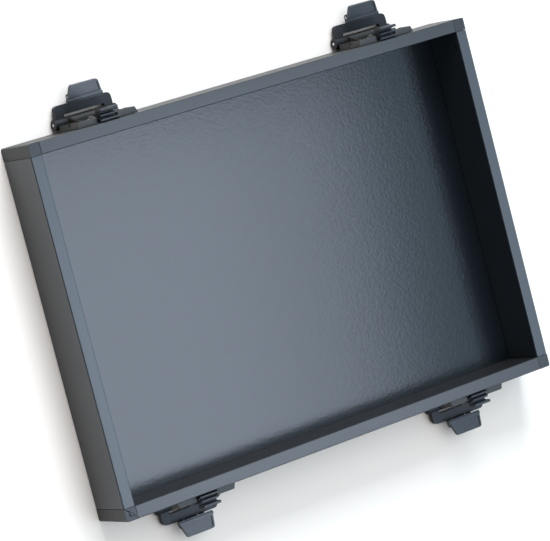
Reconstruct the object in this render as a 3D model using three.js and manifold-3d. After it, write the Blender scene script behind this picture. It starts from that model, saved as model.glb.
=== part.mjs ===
// A shallow tray: four hollow rails, four corner posts and a floor panel, with two toggle clamps on
// each long side. Each clamp is a base, a U-shaped bail with a hook tab, and a sprung thumb catch.
// Millimetres, +Z up towards the open side, X along the long sides, origin at the bottom centre.
import * as THREE from "three";
import { mergeVertices } from "three/addons/utils/BufferGeometryUtils.js";
import Module from "manifold-3d";

// Driving dimensions of the tray
const TRAY = { long: 500, short: 350, height: 50 };
const RAIL_WIDTH = 12;
const RAIL_WALL = 1.6;
const FIT = 0.3; // gap between pieces that touch
const CUT = 1; // how far a cutting shape runs past the face it opens
const ROUND = 16; // sides of a circle that shows
const SMALL_ROUND = 10; // sides of a hole or a small pin
const PIN_PROUD = 0.4; // how far a hinge pin stands out of its eye
const CHAMBER = { bottom: 7, top: TRAY.height - RAIL_WALL };
const FLOOR = { bottom: 1.6, top: 4.6, edgeInRail: 5.5 };
const GROOVE = { bottom: FLOOR.bottom - FIT, top: FLOOR.top + FIT, depth: FLOOR.edgeInRail + FIT };
const RAIL_CHAMFER = 0.7;
const POST = { roundness: 2, edgeChamfer: 0.5, plugLength: 22, plugTaper: 2 };
const STUD = { radius: 2.1, collar: 0.4, height: 0.8 }; // a low domed stud on the front left post
const CORNER_SCREW = { fromCorner: 27, belowRim: 8, shank: 1.4, length: 8, head: 2.6, headHeight: 1.2 };

// Driving dimensions of a clamp. Its own frame has a along the wall (X), y away from the wall, z up.
const CLAMP_SPACING = 320;
const HINGE = { y: 6.8, z: 5.3, pinRadius: 1.5, eyeRadius: 5.1 };
const BASE = {
  halfWidth: 32,
  bottom: 11,
  top: 45,
  height: 5.8,
  floor: 2,
  toeFloor: 0.6,
  wall: 3,
  step: 26,
  endSlope: 2.2,
  knuckleHalf: 21.6,
};
const GUSSET = { from: 17.6, to: 20.2, end: 30 };
const BASE_SCREW = { a: 23.5, z: 18, shank: 1.5, length: 7.5, head: 3, headHeight: 1.6 };
const SCREW_PAD = { radius: 4.6, seat: 3, top: 4.2 };
const BAIL = {
  halfWidth: 31,
  eyeHalf: 33.8,
  window: 22,
  barInner: 14.2,
  barOuter: 23.3,
  low: 3.2,
  high: 8,
  corner: 5.5,
  round: 1.6,
};
const TAB_HINGE = { y: 28, z: 7, pinRadius: 1.2, eyeRadius: 3.1 };
const TAB_LUG = { middle: 6, from: 10.2, to: 13.4 };
const TAB = {
  tilt: THREE.MathUtils.degToRad(14.8),
  innerHalf: 19,
  outerHalf: 15,
  inner: -3,
  outer: 13,
  back: 6.8,
  front: 9.7,
  corner: 2.4,
  border: 1.9,
  recess: 0.8,
  bead: 2,
  cheekFrom: 6.4,
  cheekTo: 9.8,
};
const CATCH = {
  half: 9.2,
  toeHalf: 10.6,
  hingeY: 5.2,
  hingeZ: 38,
  pinRadius: 1.2,
  barrelRadius: 2.6,
  barrelInner: 4,
  webBack: 41.2,
  webFront: 43.4,
  ribs: [
    { y: 1.9, tip: 50.8, thick: 1.9 },
    { y: 6, tip: 49.8, thick: 1.9 },
    { y: 10.8, tip: 52, thick: 2.6 },
  ],
  pocketHalf: 11.4,
};
const CATCH_BOSS = { to: 16.4, radius: 3 };
const SPRING = {
  coilRadius: 1.95,
  wire: 0.35,
  turns: 3,
  half: 2.6,
  leg: 4.6,
  legTilt: THREE.MathUtils.degToRad(15),
};

const wasm = await Module();
wasm.setup();

// ---- solids -------------------------------------------------------------------------------------

function solidOf(geometry) {
  const bare = geometry.index ? geometry.toNonIndexed() : geometry.clone();
  bare.deleteAttribute("normal");
  bare.deleteAttribute("uv");
  const merged = mergeVertices(bare, 1e-4);
  return new wasm.Manifold(
    new wasm.Mesh({
      numProp: 3,
      vertProperties: merged.attributes.position.array,
      triVerts: new Uint32Array(merged.index.array),
    }),
  );
}

function geometryOf(solid) {
  const mesh = solid.getMesh();
  const geometry = new THREE.BufferGeometry();
  geometry.setAttribute("position", new THREE.BufferAttribute(mesh.vertProperties, 3));
  geometry.setIndex(new THREE.BufferAttribute(mesh.triVerts, 1));
  const flat = geometry.toNonIndexed();
  flat.computeVertexNormals();
  return flat;
}

function box(from, to) {
  const size = to.map((value, axis) => value - from[axis]);
  const geometry = new THREE.BoxGeometry(...size);
  geometry.translate(...from.map((value, axis) => value + size[axis] / 2));
  return solidOf(geometry);
}

const AXES = {
  x: new THREE.Matrix4().makeRotationZ(-Math.PI / 2),
  y: new THREE.Matrix4(),
  z: new THREE.Matrix4().makeRotationX(Math.PI / 2),
};

// A cylinder along one axis between two places on it, its centre line through the given point.
function cylinder(axis, radius, from, to, [x, y, z], segments = SMALL_ROUND) {
  const geometry = new THREE.CylinderGeometry(radius, radius, to - from, segments);
  geometry.applyMatrix4(AXES[axis]);
  const middle = (from + to) / 2;
  geometry.translate(axis === "x" ? middle : x, axis === "y" ? middle : y, axis === "z" ? middle : z);
  return solidOf(geometry);
}

// An outline drawn in the (y, z) plane, extruded along X.
function alongX(shape, from, to, curveSegments = 3) {
  const geometry = new THREE.ExtrudeGeometry(shape, { depth: to - from, bevelEnabled: false, curveSegments });
  const turn = new THREE.Matrix4().makeBasis(
    new THREE.Vector3(0, 1, 0),
    new THREE.Vector3(0, 0, 1),
    new THREE.Vector3(1, 0, 0),
  );
  geometry.applyMatrix4(turn);
  geometry.translate(from, 0, 0);
  return solidOf(geometry);
}

// An outline drawn in the (x, y) plane, extruded along Z.
function alongZ(shape, from, to, curveSegments = 3) {
  const geometry = new THREE.ExtrudeGeometry(shape, { depth: to - from, bevelEnabled: false, curveSegments });
  geometry.translate(0, 0, from);
  return solidOf(geometry);
}

function polygon(points) {
  return new THREE.Shape(points.map(([u, v]) => new THREE.Vector2(u, v)));
}

// A closed outline whose corners are rounded; each point is [u, v] or [u, v, radius].
function rounded(points) {
  const shape = new THREE.Shape();
  points.forEach(([u, v, radius = 0], index) => {
    const before = points[(index + points.length - 1) % points.length];
    const after = points[(index + 1) % points.length];
    const corner = new THREE.Vector2(u, v);
    const towards = (other) => new THREE.Vector2(other[0], other[1]).sub(corner).normalize();
    const start = corner.clone().addScaledVector(towards(before), radius);
    const end = corner.clone().addScaledVector(towards(after), radius);
    if (index === 0) shape.moveTo(start.x, start.y);
    else shape.lineTo(start.x, start.y);
    if (radius > 0) shape.quadraticCurveTo(u, v, end.x, end.y);
  });
  shape.closePath();
  return shape;
}

// The two ends along X of a piece that lies between two distances from the middle, on one side.
function span(side, from, to) {
  return side > 0 ? [from, to] : [-to, -from];
}

function joined(solids) {
  return solids.reduce((whole, next) => whole.add(next));
}

function cut(solid, tools) {
  return tools.reduce((left, tool) => left.subtract(tool), solid);
}

// ---- materials ----------------------------------------------------------------------------------

function material(color, roughness, metalness) {
  return new THREE.MeshStandardMaterial({ color, roughness, metalness });
}

const COATED_ALUMINIUM = material(0x4a5058, 0.45, 0.4);
const COATED_STEEL = material(0x454c55, 0.5, 0.3);
const POST_PLASTIC = material(0x2e3237, 0.55, 0);
const BASE_PLASTIC = material(0x35332f, 0.6, 0);
const CLAMP_PLASTIC = material(0x2b3036, 0.45, 0);
const BRIGHT_STEEL = material(0xa8abae, 0.3, 1);
const BLACK_STEEL = material(0x22262b, 0.4, 0.6);
const SPRING_STEEL = material(0x8d9093, 0.35, 1);

function part(name, solid, surface) {
  const mesh = new THREE.Mesh(geometryOf(solid), surface);
  mesh.name = name;
  return mesh;
}

// ---- fasteners and pins -------------------------------------------------------------------------

const SCREW_TIP = 1;

// A screw along +Y, turned from its profile, with a cross recess cut into its head from y = face.
function crossHeadScrew(profile, face, { head, headHeight }) {
  const points = profile.map(([radius, along]) => new THREE.Vector2(radius, along));
  const body = solidOf(new THREE.LatheGeometry(points, SMALL_ROUND));
  const arm = head * 0.62;
  const slot = head * 0.14;
  const depth = headHeight * 0.6;
  const recess = joined([
    box([-arm, face - CUT, -slot], [arm, face + depth, slot]),
    box([-slot, face - CUT, -arm], [slot, face + depth, arm]),
  ]);
  return body.subtract(recess);
}

// The shank of a screw, from the underside of its head at y = from to its tip.
function shankProfile({ shank, length }, from) {
  return [
    [shank, from],
    [shank, length - SCREW_TIP],
    [shank * 0.4, length],
    [0, length],
  ];
}

// A raised head whose underside is at y = 0.
function panScrew(sizes) {
  const { head, headHeight } = sizes;
  const crown = 0.35;
  const profile = [
    [0, -headHeight],
    [head * 0.6, -headHeight],
    [head, -headHeight + crown],
    [head, 0],
    ...shankProfile(sizes, 0),
  ];
  return crossHeadScrew(profile, -headHeight, sizes);
}

// A conical head whose flat face is at y = 0.
function sunkScrew(sizes) {
  const profile = [[0, 0], [sizes.head, 0], ...shankProfile(sizes, sizes.headHeight)];
  return crossHeadScrew(profile, 0, sizes);
}

// A pin along X with chamfered ends.
function pin(radius, half) {
  const chamfer = radius * 0.25;
  const profile = [
    [0, -half],
    [radius - chamfer, -half],
    [radius, -half + chamfer],
    [radius, half - chamfer],
    [radius - chamfer, half],
    [0, half],
  ].map(([r, along]) => new THREE.Vector2(r, along));
  const geometry = new THREE.LatheGeometry(profile, SMALL_ROUND);
  geometry.applyMatrix4(AXES.x);
  return solidOf(geometry);
}

// ---- tray frame ---------------------------------------------------------------------------------

// The hole for a corner screw through a rail's inner wall, along +Y from the wall's face at y = 0.
function sunkHole() {
  const { shank, head, headHeight } = CORNER_SCREW;
  const slope = (head - shank) / headHeight;
  const profile = [
    [0, -CUT],
    [head + FIT + CUT * slope, -CUT],
    [shank + FIT, headHeight],
    [shank + FIT, RAIL_WALL + CUT],
    [0, RAIL_WALL + CUT],
  ].map(([radius, along]) => new THREE.Vector2(radius, along));
  return solidOf(new THREE.LatheGeometry(profile, SMALL_ROUND));
}

// A hollow rail along X, its inner face at y = -RAIL_WIDTH and its outer face at y = 0, with a groove
// for the floor panel, a hole near each end for the corner screw, and holes for clamp screws.
function rail(length, clampHoles) {
  const half = length / 2;
  const inner = -RAIL_WIDTH;
  const profile = polygon([
    [inner, 0],
    [-RAIL_CHAMFER, 0],
    [0, RAIL_CHAMFER],
    [0, TRAY.height - RAIL_CHAMFER],
    [-RAIL_CHAMFER, TRAY.height],
    [inner + RAIL_CHAMFER, TRAY.height],
    [inner, TRAY.height - RAIL_CHAMFER],
    [inner, GROOVE.top],
    [inner + GROOVE.depth, GROOVE.top],
    [inner + GROOVE.depth, GROOVE.bottom],
    [inner, GROOVE.bottom],
  ]);
  const chamber = box(
    [-half - CUT, inner + RAIL_WALL, CHAMBER.bottom],
    [half + CUT, -RAIL_WALL, CHAMBER.top],
  );
  const screwX = half + FIT + RAIL_WIDTH - CORNER_SCREW.fromCorner;
  const screwZ = TRAY.height - CORNER_SCREW.belowRim;
  const cornerHoles = [-1, 1].map((side) => sunkHole().translate([side * screwX, inner, screwZ]));
  const baseHoles = clampHoles.map((x) =>
    cylinder("y", BASE_SCREW.shank + FIT, -RAIL_WALL - CUT, CUT, [x, 0, BASE_SCREW.z]),
  );
  return cut(alongX(profile, -half, half), [chamber, ...cornerHoles, ...baseHoles]);
}

// A corner post whose outer corner is at the origin and whose body fills the quadrant x < 0, y < 0.
// Its two plugs fit into the chambers of the rails on both sides.
function cornerPost() {
  const w = RAIL_WIDTH;
  const body = alongZ(
    rounded([
      [-w, -w],
      [0, -w, POST.edgeChamfer],
      [0, 0, POST.roundness],
      [-w, 0, POST.edgeChamfer],
    ]),
    0,
    TRAY.height,
    4,
  );
  const near = -RAIL_WALL - FIT;
  const far = -w + RAIL_WALL + FIT;
  const end = -w - POST.plugLength;
  const plugOutline = [
    [-w + FIT, near],
    [-w + FIT, far],
    [end + POST.plugTaper, far],
    [end, far + POST.plugTaper / 2],
    [end, near - POST.plugTaper / 2],
    [end + POST.plugTaper, near],
  ];
  const plugs = [plugOutline, plugOutline.map(([x, y]) => [y, x])].map((outline) =>
    alongZ(polygon(outline), CHAMBER.bottom + FIT, CHAMBER.top - FIT),
  );
  const screwZ = TRAY.height - CORNER_SCREW.belowRim;
  const pilot = CORNER_SCREW.shank + FIT;
  const deep = -w + CORNER_SCREW.length + CUT;
  return cut(joined([body, ...plugs]), [
    cylinder("y", pilot, far - CUT, deep, [-CORNER_SCREW.fromCorner, 0, screwZ]),
    cylinder("x", pilot, far - CUT, deep, [0, -CORNER_SCREW.fromCorner, screwZ]),
  ]);
}

// The low domed stud in the middle of a post's top face, in the post's own frame.
function postStud() {
  const { radius, collar, height } = STUD;
  const profile = [
    [0, TRAY.height - CUT],
    [radius, TRAY.height - CUT],
    [radius, TRAY.height + collar],
    [radius * 0.8, TRAY.height + collar + (height - collar) * 0.7],
    [radius * 0.4, TRAY.height + height],
    [0, TRAY.height + height],
  ].map(([r, along]) => new THREE.Vector2(r, along));
  const geometry = new THREE.LatheGeometry(profile, ROUND);
  geometry.applyMatrix4(AXES.z);
  return solidOf(geometry).translate([-RAIL_WIDTH / 2, -RAIL_WIDTH / 2, 0]);
}

// The floor panel, with its corners cut out round the posts.
function floorPanel() {
  const x = TRAY.long / 2 - RAIL_WIDTH;
  const y = TRAY.short / 2 - RAIL_WIDTH;
  const sheet = box(
    [-x - FLOOR.edgeInRail, -y - FLOOR.edgeInRail, FLOOR.bottom],
    [x + FLOOR.edgeInRail, y + FLOOR.edgeInRail, FLOOR.top],
  );
  const corners = [-1, 1].flatMap((right) =>
    [-1, 1].map((back) => {
      const near = [right * (x - FIT), back * (y - FIT)];
      const far = [right * (x + RAIL_WIDTH), back * (y + RAIL_WIDTH)];
      return box(
        [Math.min(near[0], far[0]), Math.min(near[1], far[1]), 0],
        [Math.max(near[0], far[0]), Math.max(near[1], far[1]), GROOVE.top + CUT],
      );
    }),
  );
  return cut(sheet, corners);
}

// ---- clamp --------------------------------------------------------------------------------------

// The base moulding: a low open pocket, a hinge knuckle with two gussets, and bosses for the catch pin.
function clampBase() {
  const { halfWidth, bottom, top, height, floor, toeFloor, wall, step, endSlope, knuckleHalf } = BASE;
  const { pocketHalf, hingeY, hingeZ } = CATCH;
  const outline = rounded([
    [0, bottom],
    [height - 0.6, bottom, 0.6],
    [height - 0.6, step - 0.5],
    [height - 1.2, step],
    [height, step + 0.6],
    [height, top - 0.8, 0.4],
    [height - 0.8, top],
    [0, top],
  ]);
  const shell = alongX(outline, -halfWidth, halfWidth);
  const slopes = [-1, 1].map((side) =>
    alongZ(
      polygon([
        [side * (halfWidth + CUT), 0],
        [side * (halfWidth + CUT), height + CUT],
        [side * (halfWidth - endSlope), height + CUT],
        [side * halfWidth, 1.2],
      ]),
      step + 2,
      top + CUT,
    ),
  );
  const pocket = box([-halfWidth + wall, floor, bottom + wall], [halfWidth - wall, height + CUT, top - wall]);
  const screwPads = [-1, 1].map((side) =>
    cylinder("y", SCREW_PAD.radius, floor - FIT, SCREW_PAD.top, [side * BASE_SCREW.a, 0, BASE_SCREW.z]),
  );
  const knuckle = cylinder("x", HINGE.eyeRadius, -knuckleHalf, knuckleHalf, [0, HINGE.y, HINGE.z], ROUND);
  const bridge = box([-knuckleHalf, 0, HINGE.z - 3], [knuckleHalf, HINGE.y - 1.5, bottom + 1]);
  const gussets = [-1, 1].map((side) => {
    const ends = span(side, GUSSET.from, GUSSET.to);
    const rib = polygon([
      [0.5, HINGE.z],
      [HINGE.y + HINGE.eyeRadius - 0.6, HINGE.z + 2],
      [HINGE.y + HINGE.eyeRadius - 2, HINGE.z + 5],
      [height - 0.6, GUSSET.end],
      [0.5, GUSSET.end],
    ]);
    return alongX(rib, ends[0], ends[1]);
  });
  const bosses = [-1, 1].map((side) => {
    const ends = span(side, pocketHalf, CATCH_BOSS.to);
    const foot = box(
      [ends[0], floor - FIT, hingeZ - CATCH_BOSS.radius],
      [ends[1], hingeY, hingeZ + CATCH_BOSS.radius],
    );
    return cylinder("x", CATCH_BOSS.radius, ends[0], ends[1], [0, hingeY, hingeZ]).add(foot);
  });
  const catchNotch = box([-pocketHalf, floor, top - wall - CUT], [pocketHalf, height + CUT, top + CUT]);
  const toeNotch = box([-pocketHalf, toeFloor, CATCH.webBack - 1], [pocketHalf, height, top + CUT]);
  const screwHoles = [-1, 1].flatMap((side) => [
    cylinder("y", BASE_SCREW.shank + FIT, -CUT, height, [side * BASE_SCREW.a, 0, BASE_SCREW.z]),
    cylinder("y", BASE_SCREW.head + FIT, SCREW_PAD.seat, height, [side * BASE_SCREW.a, 0, BASE_SCREW.z]),
  ]);
  const hingeHole = cylinder(
    "x",
    HINGE.pinRadius + FIT,
    -BASE.halfWidth,
    BASE.halfWidth,
    [0, HINGE.y, HINGE.z],
  );
  const catchHole = cylinder(
    "x",
    CATCH.pinRadius + FIT,
    -CATCH_BOSS.to - CUT,
    CATCH_BOSS.to + CUT,
    [0, hingeY, hingeZ],
  );
  const hollowed = cut(shell, [...slopes, pocket]);
  const whole = joined([hollowed, ...screwPads, knuckle, bridge, ...gussets, ...bosses]);
  return cut(whole, [catchNotch, toeNotch, ...screwHoles, hingeHole, catchHole]);
}


// The bail: two legs with round eyes on the hinge pin, an outer bar, and three lugs for the hook tab.
function bail() {
  const { halfWidth, eyeHalf, window, barInner, barOuter, low, high, corner, round } = BAIL;
  const outline = rounded([
    [-halfWidth, HINGE.y],
    [-halfWidth, barOuter, corner],
    [halfWidth, barOuter, corner],
    [halfWidth, HINGE.y],
    [window, HINGE.y],
    [window, barInner, round],
    [-window, barInner, round],
    [-window, HINGE.y],
  ]);
  const plate = alongZ(outline, low, high, 5);
  const eyes = [-1, 1].map((side) => {
    const ends = span(side, window, eyeHalf);
    return cylinder("x", HINGE.eyeRadius, ends[0], ends[1], [0, HINGE.y, HINGE.z], ROUND);
  });
  const outerLugs = [-1, 1].map((side) => span(side, TAB_LUG.from, TAB_LUG.to));
  const lugSpans = [...outerLugs, [-TAB_LUG.middle, TAB_LUG.middle]];
  const lugs = lugSpans.map((ends) => {
    const lowest = TAB_HINGE.z - TAB_HINGE.eyeRadius;
    const highest = TAB_HINGE.z + TAB_HINGE.eyeRadius;
    const arm = polygon([
      [barOuter - 2, lowest],
      [TAB_HINGE.y, lowest],
      [TAB_HINGE.y, highest],
      [barOuter + 1.5, highest],
      [barOuter - 1, high],
      [barOuter - 2, high],
    ]);
    const eye = cylinder("x", TAB_HINGE.eyeRadius, ends[0], ends[1], [0, TAB_HINGE.y, TAB_HINGE.z], 12);
    return alongX(arm, ends[0], ends[1]).add(eye);
  });
  const reach = eyeHalf + CUT;
  const hingeHole = cylinder("x", HINGE.pinRadius + FIT, -reach, reach, [0, HINGE.y, HINGE.z]);
  const tabHole = cylinder(
    "x",
    TAB_HINGE.pinRadius + FIT,
    -TAB_LUG.to - CUT,
    TAB_LUG.to + CUT,
    [0, TAB_HINGE.y, TAB_HINGE.z],
  );
  return cut(joined([plate, ...eyes, ...lugs]), [hingeHole, tabHole]);
}

// The hook tab in its own frame: x across, y from the inner to the outer edge, z out of the front
// face, origin on its hinge pin. A tapered plate with a bordered recess, a bead and two cheeks.
function hookTab() {
  const { innerHalf, outerHalf, inner, outer, back, front, corner, border, recess, bead } = TAB;
  const plate = alongZ(
    rounded([
      [-innerHalf, inner, 0.8],
      [-outerHalf, outer, corner],
      [outerHalf, outer, corner],
      [innerHalf, inner, 0.8],
    ]),
    back,
    front,
    5,
  );
  const panelInner = inner + 2 * bead + 0.9;
  const panel = alongZ(
    rounded([
      [-innerHalf + border + 1, panelInner, 0.8],
      [-outerHalf + border - 0.8, outer - border, corner - 1],
      [outerHalf - border + 0.8, outer - border, corner - 1],
      [innerHalf - border - 1, panelInner, 0.8],
    ]),
    front - recess,
    front + CUT,
    3,
  );
  const roll = cylinder("x", bead, -innerHalf, innerHalf, [0, inner + bead, front - bead + 0.2], ROUND);
  const eyeRadius = TAB_HINGE.eyeRadius - 0.5;
  const cheeks = [-1, 1].map((side) => {
    const ends = span(side, TAB.cheekFrom, TAB.cheekTo);
    const web = polygon([
      [-eyeRadius + 0.2, 0],
      [eyeRadius, 0],
      [eyeRadius + 3, back + 0.5],
      [-eyeRadius + 0.2, back + 0.5],
    ]);
    return alongX(web, ends[0], ends[1]).add(cylinder("x", eyeRadius, ends[0], ends[1], [0, 0, 0]));
  });
  const hole = cylinder(
    "x",
    TAB_HINGE.pinRadius + FIT,
    -TAB.cheekTo - CUT,
    TAB.cheekTo + CUT,
    [0, 0, 0],
  );
  return cut(joined([plate.subtract(panel), roll, ...cheeks]), [hole]);
}

// The ribbed thumb catch: a web carrying three rounded ribs, hung on two barrels.
function thumbCatch() {
  const { half, toeHalf, hingeY, hingeZ, pinRadius, ribs } = CATCH;
  const { barrelRadius, barrelInner, webBack, webFront } = CATCH;
  const lowest = ribs[0];
  const highest = ribs[ribs.length - 1];
  const web = alongX(
    rounded([
      [lowest.y - lowest.thick / 2, webBack, 0.6],
      [highest.y + highest.thick / 2, webBack, 1.2],
      [highest.y + highest.thick / 2, webFront + 1],
      [lowest.y - lowest.thick / 2, webFront + 1],
    ]),
    -half,
    half,
  );
  const scoops = ribs.slice(1).map((rib, index) => {
    const under = ribs[index];
    const low = under.y + under.thick / 2;
    const high = rib.y - rib.thick / 2;
    const reach = (high - low) / 2;
    const hollow = cylinder("x", reach, -half - CUT, half + CUT, [0, low + reach, webFront + reach]);
    const mouth = box([-half - CUT, low, webFront + reach], [half + CUT, high, highest.tip]);
    return hollow.add(mouth);
  });
  const fins = ribs.map(({ y, tip, thick }, index) => {
    const reach = index === 0 ? toeHalf : half;
    const blade = box([-reach, y - thick / 2, webFront - 1], [reach, y + thick / 2, tip - thick / 2]);
    return blade.add(cylinder("x", thick / 2, -reach, reach, [0, y, tip - thick / 2], SMALL_ROUND));
  });
  const barrels = [-1, 1].map((side) => {
    const ends = span(side, barrelInner, half);
    const neck = box([ends[0], hingeY - 2, hingeZ], [ends[1], hingeY + 2, webBack + 1]);
    return cylinder("x", barrelRadius, ends[0], ends[1], [0, hingeY, hingeZ]).add(neck);
  });
  const hole = cylinder("x", pinRadius + FIT, -half - CUT, half + CUT, [0, hingeY, hingeZ]);
  return cut(joined([cut(web, scoops), ...fins, ...barrels]), [hole]);
}

// The centre line of the catch's torsion spring: a leg along the base floor, the coil round the pin
// and a leg behind the web.
class SpringLine extends THREE.Curve {
  getPoint(t) {
    const { coilRadius, turns, half, leg, legTilt } = SPRING;
    const startAngle = Math.PI;
    const endAngle = Math.PI / 2 - legTilt;
    const sweep = turns * 2 * Math.PI + startAngle - endAngle;
    const coilLength = sweep * coilRadius;
    const along = t * (coilLength + 2 * leg);
    if (along < leg) return new THREE.Vector3(-half, -coilRadius, along - leg);
    const onCoil = Math.min(along - leg, coilLength);
    const angle = startAngle - onCoil / coilRadius;
    const x = -half + (2 * half * onCoil) / coilLength;
    const past = Math.max(along - leg - coilLength, 0);
    return new THREE.Vector3(
      x,
      coilRadius * Math.cos(angle) + past * Math.sin(angle),
      coilRadius * Math.sin(angle) - past * Math.cos(angle),
    );
  }
}

function catchSpring() {
  const wireSection = new THREE.Shape().absarc(0, 0, SPRING.wire, 0, 2 * Math.PI);
  const steps = SPRING.turns * 10 + 8;
  return solidOf(
    new THREE.ExtrudeGeometry(wireSection, { extrudePath: new SpringLine(), steps, curveSegments: 2 }),
  );
}

// One clamp with every piece named after its place on the tray.
function clamp(place) {
  const group = new THREE.Group();
  group.add(part(`${place}_clamp_base`, clampBase(), BASE_PLASTIC));
  group.add(part(`${place}_bail`, bail(), CLAMP_PLASTIC));
  const bailPin = part(`${place}_bail_pin`, pin(HINGE.pinRadius, BAIL.eyeHalf + PIN_PROUD), BRIGHT_STEEL);
  bailPin.position.set(0, HINGE.y, HINGE.z);
  group.add(bailPin);

  const tab = new THREE.Group();
  tab.position.set(0, TAB_HINGE.y, TAB_HINGE.z);
  tab.rotation.x = TAB.tilt;
  tab.add(part(`${place}_hook_tab`, hookTab(), CLAMP_PLASTIC));
  tab.add(part(`${place}_tab_pin`, pin(TAB_HINGE.pinRadius, TAB_LUG.to + PIN_PROUD), BRIGHT_STEEL));
  group.add(tab);

  group.add(part(`${place}_thumb_catch`, thumbCatch(), CLAMP_PLASTIC));
  const catchPin = part(`${place}_catch_pin`, pin(CATCH.pinRadius, CATCH_BOSS.to), BRIGHT_STEEL);
  const spring = part(`${place}_catch_spring`, catchSpring(), SPRING_STEEL);
  for (const piece of [catchPin, spring]) {
    piece.position.set(0, CATCH.hingeY, CATCH.hingeZ);
    group.add(piece);
  }

  for (const [side, name] of [[-1, "a"], [1, "b"]]) {
    const fastener = part(`${place}_base_screw_${name}`, panScrew(BASE_SCREW), BRIGHT_STEEL);
    fastener.position.set(side * BASE_SCREW.a, SCREW_PAD.seat + FIT, BASE_SCREW.z);
    fastener.rotation.z = Math.PI;
    group.add(fastener);
  }
  return group;
}

// ---- assembly -----------------------------------------------------------------------------------

const group = new THREE.Group();

// A rail on one side of the tray with its two corner screws. The turn is about Z from the back side.
function railOnSide(name, length, distance, turn, clampHoles) {
  const side = new THREE.Group();
  side.rotation.z = turn;
  const profile = part(`${name}_rail`, rail(length, clampHoles), COATED_ALUMINIUM);
  profile.position.y = distance;
  side.add(profile);
  const screwX = length / 2 + FIT + RAIL_WIDTH - CORNER_SCREW.fromCorner;
  for (const [direction, end] of [[-1, "a"], [1, "b"]]) {
    const fastener = part(`${name}_corner_screw_${end}`, sunkScrew(CORNER_SCREW), BLACK_STEEL);
    fastener.position.set(direction * screwX, distance - RAIL_WIDTH, TRAY.height - CORNER_SCREW.belowRim);
    side.add(fastener);
  }
  group.add(side);
}

const clampHoles = [-1, 1].flatMap((clampSide) =>
  [-1, 1].map((screwSide) => (clampSide * CLAMP_SPACING) / 2 + screwSide * BASE_SCREW.a),
);
const longRail = TRAY.long - 2 * RAIL_WIDTH - 2 * FIT;
const shortRail = TRAY.short - 2 * RAIL_WIDTH - 2 * FIT;
railOnSide("back", longRail, TRAY.short / 2, 0, clampHoles);
railOnSide("left", shortRail, TRAY.long / 2, Math.PI / 2, []);
railOnSide("front", longRail, TRAY.short / 2, Math.PI, clampHoles);
railOnSide("right", shortRail, TRAY.long / 2, -Math.PI / 2, []);

const CORNERS = [
  ["back_right", 1, 1],
  ["back_left", -1, 1],
  ["front_left", -1, -1],
  ["front_right", 1, -1],
];
CORNERS.forEach(([name, right, back], quarterTurns) => {
  const solid = name === "front_left" ? cornerPost().add(postStud()) : cornerPost();
  const post = part(`${name}_post`, solid, POST_PLASTIC);
  post.position.set((right * TRAY.long) / 2, (back * TRAY.short) / 2, 0);
  post.rotation.z = (quarterTurns * Math.PI) / 2;
  group.add(post);
});

group.add(part("floor_panel", floorPanel(), COATED_STEEL));

for (const [name, right, back] of CORNERS) {
  const unit = clamp(name);
  unit.position.set((right * CLAMP_SPACING) / 2, back * (TRAY.short / 2 + FIT), 0);
  unit.rotation.z = back > 0 ? 0 : Math.PI;
  group.add(unit);
}

export default group;
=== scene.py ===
import math
import bpy
from mathutils import Matrix, Vector


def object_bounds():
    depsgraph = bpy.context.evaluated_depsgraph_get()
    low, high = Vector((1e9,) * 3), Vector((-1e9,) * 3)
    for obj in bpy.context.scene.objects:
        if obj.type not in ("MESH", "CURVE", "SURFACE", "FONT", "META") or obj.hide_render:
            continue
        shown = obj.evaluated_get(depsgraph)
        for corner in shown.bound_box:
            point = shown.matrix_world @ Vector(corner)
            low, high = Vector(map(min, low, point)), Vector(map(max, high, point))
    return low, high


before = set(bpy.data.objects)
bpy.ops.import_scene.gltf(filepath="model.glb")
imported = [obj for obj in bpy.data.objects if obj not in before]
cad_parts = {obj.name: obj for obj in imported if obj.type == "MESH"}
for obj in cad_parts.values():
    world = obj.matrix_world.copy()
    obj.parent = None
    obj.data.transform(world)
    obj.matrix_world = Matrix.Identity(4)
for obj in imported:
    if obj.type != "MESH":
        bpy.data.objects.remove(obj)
cad_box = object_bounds()

MM = 0.001
NOISE_RANGE = (0.3, 0.7)  # between which nearly all of a noise lies

# ---- view ---------------------------------------------------------------------------------------

CAMERA_AZIMUTH = 258.77
CAMERA_ELEVATION = 56.81
CAMERA_ROLL = 84.95
CAMERA_DISTANCE = 3.086
CAMERA_TARGET = (-0.031, -0.001, 0.05)
CAMERA_LENS = 218.4  # mm
SENSOR_WIDTH = 36.0  # mm

# ---- light --------------------------------------------------------------------------------------

# Two soft boxes side by side over the tray, which its floor and rims mirror towards the camera.
CARD_TINT = (0.76, 0.85, 1.0)
CARD_HEIGHT = 0.8
CARD_FRONT = -0.56
CARD_BACK = 0.14
CARD_TURN = math.radians(4.6)  # about the vertical
CARDS = {  # left edge, right edge and radiance
    "card": (0.0, 0.46, 5.6),
    "side_card": (0.46, 0.652, 4.6),
}

# The key comes from behind the tray, and makes the shadow in front of it.
KEY_RADIANCE = 15.5
KEY_TINT = (0.97, 0.99, 1.04)
KEY_PLACE = (0.25, 3.2, 2.0)
KEY_SIZE = 1.8

# The wash is a ceiling of light for the studio floor alone.
WASH_RADIANCE = 1.15
WASH_TINT = (0.96, 0.76, 0.63)
WASH_HEIGHT = 2.5
WASH_SIZE = 4.0

SKY_TOWARDS = (0.6, 0.0, 0.8)  # the brightest direction of the room
SKY_DARK = (0.10, 0.10, 0.11)
SKY_BRIGHT = (0.60, 0.87, 1.09)
SKY_RAMP = (0.25, 0.85)  # where the room starts to brighten, and where it is brightest

# ---- surfaces -----------------------------------------------------------------------------------

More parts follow.
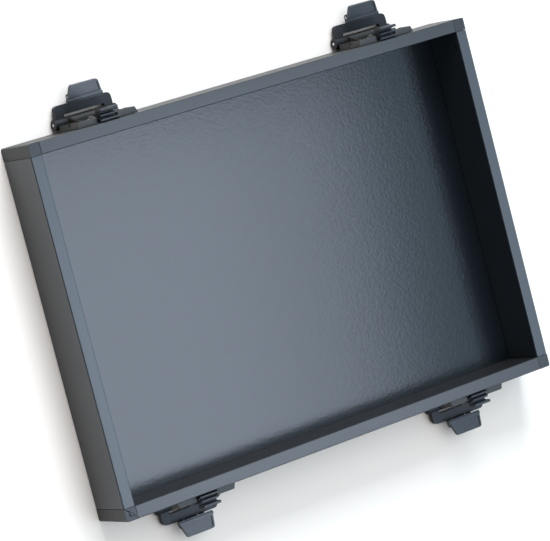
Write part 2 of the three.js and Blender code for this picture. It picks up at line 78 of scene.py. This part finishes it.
# A pair of colours is the darkest and the lightest tone of a surface, in linear RGB.
COAT_COLOURS = ((0.0025, 0.0042, 0.0056), (0.003, 0.005, 0.0066))
COAT_ROUGHNESS = (0.19, 0.22)
COAT_CLOUD = 90 * MM
COAT_PEEL = 2.8 * MM
COAT_PEEL_DEPTH = 0.078 * MM

RAIL_ROUGHNESS = (0.44, 0.475)
RAIL_SPECULAR = 0.78
RAIL_CLOUD = 60 * MM
RAIL_LINES = 0.8 * MM
RAIL_LINE_DEPTH = 0.002 * MM
RAIL_LINE_STRETCH = 0.02  # how much slower the lines change along a rail than across it
RAILS = {  # direction of the length, 0 for X and 1 for Y, and the colours; one anodised finish, with painted shade and painted light in its colours
    # front and back rails: base colour darkened as painted shade, against the key light on their inner
    # faces
    "painted_shade_long_rail": (0, ((0.004, 0.0035, 0.004), (0.006, 0.0055, 0.006))),
    # left and right rails: base colour lightened and blued as painted light on their shaded inner faces
    "painted_light_short_rail": (1, ((0.015, 0.020, 0.024), (0.018, 0.023, 0.027))),
}

PLASTIC_CLOUD = 9 * MM
PLASTIC_GRAIN = 0.6 * MM
PLASTIC_GRAIN_DEPTH = 0.012 * MM
PLASTIC_SPREAD = 0.05  # of the roughness to either side of its middle
PLASTICS = {  # colours, middle roughness and specular level
    "corner_plastic": (((0.016, 0.017, 0.018), (0.020, 0.020, 0.021)), 0.46, 0.44),
    "base_plastic": (((0.017, 0.016, 0.014), (0.022, 0.021, 0.018)), 0.55, 0.5),
    "clamp_plastic": (((0.010, 0.012, 0.015), (0.013, 0.015, 0.019)), 0.36, 0.5),
    # the clamp plastic again, greyer and with less reflection, as painted shade for the real bail's
    # outward slope
    "painted_shade_bail": (((0.010, 0.011, 0.012), (0.013, 0.014, 0.016)), 0.5, 0.3),
}

STEEL_MARKS = 0.35 * MM
STEEL_MARK_DEPTH = 0.004 * MM
STEEL_SMOOTHER = 0.06  # how far the roughness goes below its named value
STEEL_ROUGHER = 0.08  # and above it
STEEL_DARKEST = 0.85  # of the brightest tone
STEELS = {  # brightest tone and roughness
    "bright_steel": (0.62, 0.3),
    "black_steel": (0.12, 0.35),
    "spring_steel": (0.5, 0.35),
}

PALE_COLOURS = ((0.89, 0.87, 0.83), (0.91, 0.89, 0.85))
PALE_ROUGHNESS = (0.85, 0.9)
PALE_PATCH = 0.5
STUDIO_HALF = 20.0  # half the width of the studio floor
STUDIO_DROP = 0.2 * MM  # of the studio floor below the tray

# Which material a node takes: by its own name, else by the end of its name, else by its CAD slot.
NODE_LOOKS = {
    "back_rail": "painted_shade_long_rail",
    "front_rail": "painted_shade_long_rail",
    "left_rail": "painted_light_short_rail",
    "right_rail": "painted_light_short_rail",
    "floor_panel": "floor_powder_coat",
}
KIND_LOOKS = {"bail": "painted_shade_bail"}
SLOT_LOOKS = {
    "post_plastic": "corner_plastic",
    "base_plastic": "base_plastic",
    "clamp_plastic": "clamp_plastic",
    "bright_steel": "bright_steel",
    "black_steel": "black_steel",
    "spring_steel": "spring_steel",
}

# ---- edges --------------------------------------------------------------------------------------

EDGES = {  # width of the rounding on the edges of each kind of piece
    "rail": 0.45 * MM,
    "post": 0.35 * MM,
    "floor_panel": 0.3 * MM,
    "clamp_base": 0.3 * MM,
    "bail": 0.5 * MM,
    "hook_tab": 0.4 * MM,
    "thumb_catch": 0.3 * MM,
}
SMALL_EDGE = 0.12 * MM  # on screws, pins and springs
EDGE_ANGLE = math.radians(40)  # an edge is sharp above this
EDGE_SEGMENTS = 2
SAME_POINT = 0.005 * MM
SAME_PLANE = math.radians(0.5)


def fill_ramp(ramp, places, colours):
    """Sets the two ends of a colour ramp node."""
    for element, place, shade in zip(ramp.color_ramp.elements, places, colours):
        element.position = place
        element.color = (*shade, 1.0)


class Graph:
    """A material's node tree, with short calls for the patterns used below."""

    def __init__(self, name):
        self.material = bpy.data.materials.new(name)
        self.material.use_nodes = True
        self.tree = self.material.node_tree
        self.shader = self.tree.nodes["Principled BSDF"]
        self.coords = self.tree.nodes.new("ShaderNodeTexCoord").outputs["Object"]

    def link(self, output, target):
        """Joins an output to an input."""
        self.tree.links.new(output, target)

    def stretched(self, scale):
        """The object's coordinates, scaled by a factor along each axis."""
        mapping = self.tree.nodes.new("ShaderNodeMapping")
        mapping.inputs["Scale"].default_value = scale
        self.link(self.coords, mapping.inputs["Vector"])
        return mapping.outputs["Vector"]

    def noise(self, size, detail=2.0, vector=None):
        """A noise whose features are about size metres across."""
        node = self.tree.nodes.new("ShaderNodeTexNoise")
        node.inputs["Scale"].default_value = 1.0 / size
        node.inputs["Detail"].default_value = detail
        self.link(vector or self.coords, node.inputs["Vector"])
        return node.outputs["Fac"]

    def between(self, factor, low, high):
        """A number from low to high, over the usual range of a noise."""
        node = self.tree.nodes.new("ShaderNodeMapRange")
        node.inputs["From Min"].default_value = NOISE_RANGE[0]
        node.inputs["From Max"].default_value = NOISE_RANGE[1]
        node.inputs["To Min"].default_value = low
        node.inputs["To Max"].default_value = high
        self.link(factor, node.inputs["Value"])
        return node.outputs["Result"]

    def mixed(self, factor, colours):
        """A colour between two, over the usual range of a noise."""
        ramp = self.tree.nodes.new("ShaderNodeValToRGB")
        fill_ramp(ramp, NOISE_RANGE, colours)
        self.link(factor, ramp.inputs["Fac"])
        return ramp.outputs["Color"]

    def bump(self, height, depth):
        """Raises the surface by up to depth metres where height is 1."""
        node = self.tree.nodes.new("ShaderNodeBump")
        node.inputs["Distance"].default_value = depth
        self.link(height, node.inputs["Height"])
        self.link(node.outputs["Normal"], self.shader.inputs["Normal"])

    def finish(self, base, roughness, metallic=0.0, specular=0.5):
        """Joins the colour and the roughness to the shader, and gives the material."""
        self.link(base, self.shader.inputs["Base Color"])
        self.link(roughness, self.shader.inputs["Roughness"])
        self.shader.inputs["Metallic"].default_value = metallic
        self.shader.inputs["Specular IOR Level"].default_value = specular
        return self.material


def powder_coat(name):
    """Dark blue-grey powder coat with a fine orange peel."""
    graph = Graph(name)
    cloud = graph.noise(COAT_CLOUD)
    peel = graph.noise(COAT_PEEL, detail=1.0)
    roughness = graph.between(peel, *COAT_ROUGHNESS)
    graph.bump(peel, COAT_PEEL_DEPTH)
    return graph.finish(graph.mixed(cloud, COAT_COLOURS), roughness)


def anodised(name, lengthwise, colours):
    """Satin anodised extrusion, with faint lines along its length."""
    graph = Graph(name)
    squeeze = [1.0, 1.0, 1.0]
    squeeze[lengthwise] = RAIL_LINE_STRETCH
    lines = graph.noise(RAIL_LINES, detail=3.0, vector=graph.stretched(squeeze))
    cloud = graph.noise(RAIL_CLOUD)
    roughness = graph.between(lines, *RAIL_ROUGHNESS)
    graph.bump(lines, RAIL_LINE_DEPTH)
    return graph.finish(graph.mixed(cloud, colours), roughness, specular=RAIL_SPECULAR)


def moulded(name, colours, roughness, specular):
    """Dark moulded plastic with a fine grain."""
    graph = Graph(name)
    cloud = graph.noise(PLASTIC_CLOUD)
    grain = graph.noise(PLASTIC_GRAIN, detail=3.0)
    rough = graph.between(grain, roughness - PLASTIC_SPREAD, roughness + PLASTIC_SPREAD)
    graph.bump(grain, PLASTIC_GRAIN_DEPTH)
    return graph.finish(graph.mixed(cloud, colours), rough, specular=specular)


def steel(name, tone, roughness):
    """Bare steel with fine turning marks."""
    graph = Graph(name)
    marks = graph.noise(STEEL_MARKS, detail=3.0)
    colours = ((STEEL_DARKEST * tone,) * 3, (tone,) * 3)
    rough = graph.between(marks, roughness - STEEL_SMOOTHER, roughness + STEEL_ROUGHER)
    graph.bump(marks, STEEL_MARK_DEPTH)
    return graph.finish(graph.mixed(marks, colours), rough, metallic=1.0)


def smoothing():
    """A node group that shades a mesh smooth and keeps its edges sharp above EDGE_ANGLE."""
    group = bpy.data.node_groups.new("smooth_by_angle", "GeometryNodeTree")
    group.interface.new_socket("Geometry", in_out="INPUT", socket_type="NodeSocketGeometry")
    group.interface.new_socket("Geometry", in_out="OUTPUT", socket_type="NodeSocketGeometry")
    start = group.nodes.new("NodeGroupInput")
    end = group.nodes.new("NodeGroupOutput")
    angle = group.nodes.new("GeometryNodeInputMeshEdgeAngle")
    above = group.nodes.new("FunctionNodeCompare")
    above.operation = "GREATER_THAN"
    above.inputs["B"].default_value = EDGE_ANGLE
    sharp = group.nodes.new("GeometryNodeSetShadeSmooth")
    sharp.domain = "EDGE"
    sharp.inputs["Shade Smooth"].default_value = False
    smooth = group.nodes.new("GeometryNodeSetShadeSmooth")
    smooth.domain = "FACE"
    links = group.links
    links.new(start.outputs["Geometry"], smooth.inputs["Geometry"])
    links.new(smooth.outputs["Geometry"], sharp.inputs["Geometry"])
    links.new(angle.outputs["Unsigned Angle"], above.inputs["A"])
    links.new(above.outputs["Result"], sharp.inputs["Selection"])
    links.new(sharp.outputs["Geometry"], end.inputs["Geometry"])
    return group


def soften(obj, width, group):
    """Rounds the sharp edges of a mesh by modifiers, and shades it smooth between them."""
    weld = obj.modifiers.new("weld", "WELD")
    weld.merge_threshold = SAME_POINT
    planes = obj.modifiers.new("planes", "DECIMATE")
    planes.decimate_type = "DISSOLVE"
    planes.angle_limit = SAME_PLANE
    bevel = obj.modifiers.new("bevel", "BEVEL")
    bevel.width = width
    bevel.segments = EDGE_SEGMENTS
    bevel.limit_method = "ANGLE"
    bevel.angle_limit = EDGE_ANGLE
    bevel.use_clamp_overlap = True
    nodes = obj.modifiers.new("smooth", "NODES")
    nodes.node_group = group
    normals = obj.modifiers.new("normals", "WEIGHTED_NORMAL")
    normals.keep_sharp = True
    normals.weight = 100


def make_materials():
    """Every material of the tray, by name."""
    materials = {"floor_powder_coat": powder_coat("floor_powder_coat")}
    for name, look in RAILS.items():
        materials[name] = anodised(name, *look)
    for name, look in PLASTICS.items():
        materials[name] = moulded(name, *look)
    for name, look in STEELS.items():
        materials[name] = steel(name, *look)
    return materials


def dress_frame():
    """Gives every CAD node its material and rounded edges."""
    materials = make_materials()
    group = smoothing()
    for name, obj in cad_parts.items():
        slot = obj.material_slots[0]
        kind = next((key for key in EDGES if name.endswith(key)), None)
        look = NODE_LOOKS.get(name) or KIND_LOOKS.get(kind) or SLOT_LOOKS[slot.material.name]
        slot.material = materials[look]
        soften(obj, EDGES.get(kind, SMALL_EDGE), group)


def area_light(name, place, towards, width, length, radiance, tint):
    """A rectangular soft box of a given radiance."""
    light = bpy.data.lights.new(name, "AREA")
    light.shape = "RECTANGLE"
    light.size = width
    light.size_y = length
    light.energy = radiance * math.pi * width * length
    light.color = tint
    obj = bpy.data.objects.new(name, light)
    obj.location = place
    aim = Vector(towards) - Vector(place)
    obj.rotation_euler = aim.to_track_quat("-Z", "Y").to_euler()
    bpy.context.scene.collection.objects.link(obj)
    return obj


def only_lights(light, name, objects):
    """Keeps a light to these objects."""
    lit = bpy.data.collections.new(name)
    for obj in objects:
        lit.objects.link(obj)
    light.light_linking.receiver_collection = lit


def make_lights(floor):
    """The two cards for the tray, the key for everything, and the wash for the studio floor."""
    depth = CARD_BACK - CARD_FRONT
    turn = Matrix.Rotation(-CARD_TURN, 3, "Z")
    pivot = Vector((CARDS["card"][1], (CARD_FRONT + CARD_BACK) / 2, CARD_HEIGHT))
    for name, (left, right, radiance) in CARDS.items():
        place = pivot + turn @ Vector(((left + right) / 2 - pivot.x, 0, 0))
        card = area_light(name, place, place - Vector((0, 0, 1)), right - left, depth, radiance, CARD_TINT)
        card.rotation_euler.rotate_axis("Z", -CARD_TURN)
        card.visible_camera = False
        only_lights(card, "lit_by_" + name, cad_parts.values())
    area_light("key", KEY_PLACE, (0, 0, 0), KEY_SIZE, KEY_SIZE, KEY_RADIANCE, KEY_TINT)
    over = Vector((0, 0, WASH_HEIGHT))
    wash = area_light("wash", over, (0, 0, 0), WASH_SIZE, WASH_SIZE, WASH_RADIANCE, WASH_TINT)
    wash.visible_camera = False
    only_lights(wash, "lit_by_wash", [floor])


def make_room():
    """A room that is bright overhead on one side and dark behind the camera."""
    world = bpy.data.worlds.new("room")
    world.use_nodes = True
    tree = world.node_tree
    background = tree.nodes["Background"]
    coords = tree.nodes.new("ShaderNodeTexCoord")
    towards = tree.nodes.new("ShaderNodeVectorMath")
    towards.operation = "DOT_PRODUCT"
    towards.inputs[1].default_value = SKY_TOWARDS
    ramp = tree.nodes.new("ShaderNodeValToRGB")
    ramp.color_ramp.interpolation = "EASE"
    fill_ramp(ramp, SKY_RAMP, (SKY_DARK, SKY_BRIGHT))
    tree.links.new(coords.outputs["Generated"], towards.inputs[0])
    tree.links.new(towards.outputs["Value"], ramp.inputs["Fac"])
    tree.links.new(ramp.outputs["Color"], background.inputs["Color"])
    bpy.context.scene.world = world


def make_floor():
    """The plain pale floor that the tray lies on."""
    graph = Graph("pale_floor")
    patches = graph.noise(PALE_PATCH)
    base = graph.mixed(patches, PALE_COLOURS)
    material = graph.finish(base, graph.between(patches, *PALE_ROUGHNESS), specular=0.1)
    mesh = bpy.data.meshes.new("studio_floor")
    corners = [(x * STUDIO_HALF, y * STUDIO_HALF, 0) for x, y in ((-1, -1), (1, -1), (1, 1), (-1, 1))]
    mesh.from_pydata(corners, [], [(0, 1, 2, 3)])
    mesh.materials.append(material)
    floor = bpy.data.objects.new("studio_floor", mesh)
    floor.location.z = cad_box[0].z - STUDIO_DROP
    bpy.context.scene.collection.objects.link(floor)
    return floor


def make_camera():
    """The camera that sees the tray from above its left side, with the back at the top of the image."""
    data = bpy.data.cameras.new("camera")
    data.lens = CAMERA_LENS
    data.sensor_width = SENSOR_WIDTH
    camera = bpy.data.objects.new("camera", data)
    turn = Matrix.Rotation(math.radians(CAMERA_AZIMUTH), 3, "Z")
    tip = Matrix.Rotation(math.radians(90 - CAMERA_ELEVATION), 3, "X")
    roll = Matrix.Rotation(math.radians(CAMERA_ROLL), 3, "Z")
    rotation = turn @ tip @ roll
    back = rotation @ Vector((0, 0, 1))
    place = Vector(CAMERA_TARGET) + back * CAMERA_DISTANCE
    camera.matrix_world = Matrix.Translation(place) @ rotation.to_4x4()
    bpy.context.scene.collection.objects.link(camera)
    bpy.context.scene.camera = camera


make_camera()
make_room()
make_lights(make_floor())
dress_frame()
bpy.context.scene.view_settings.view_transform = "Standard"
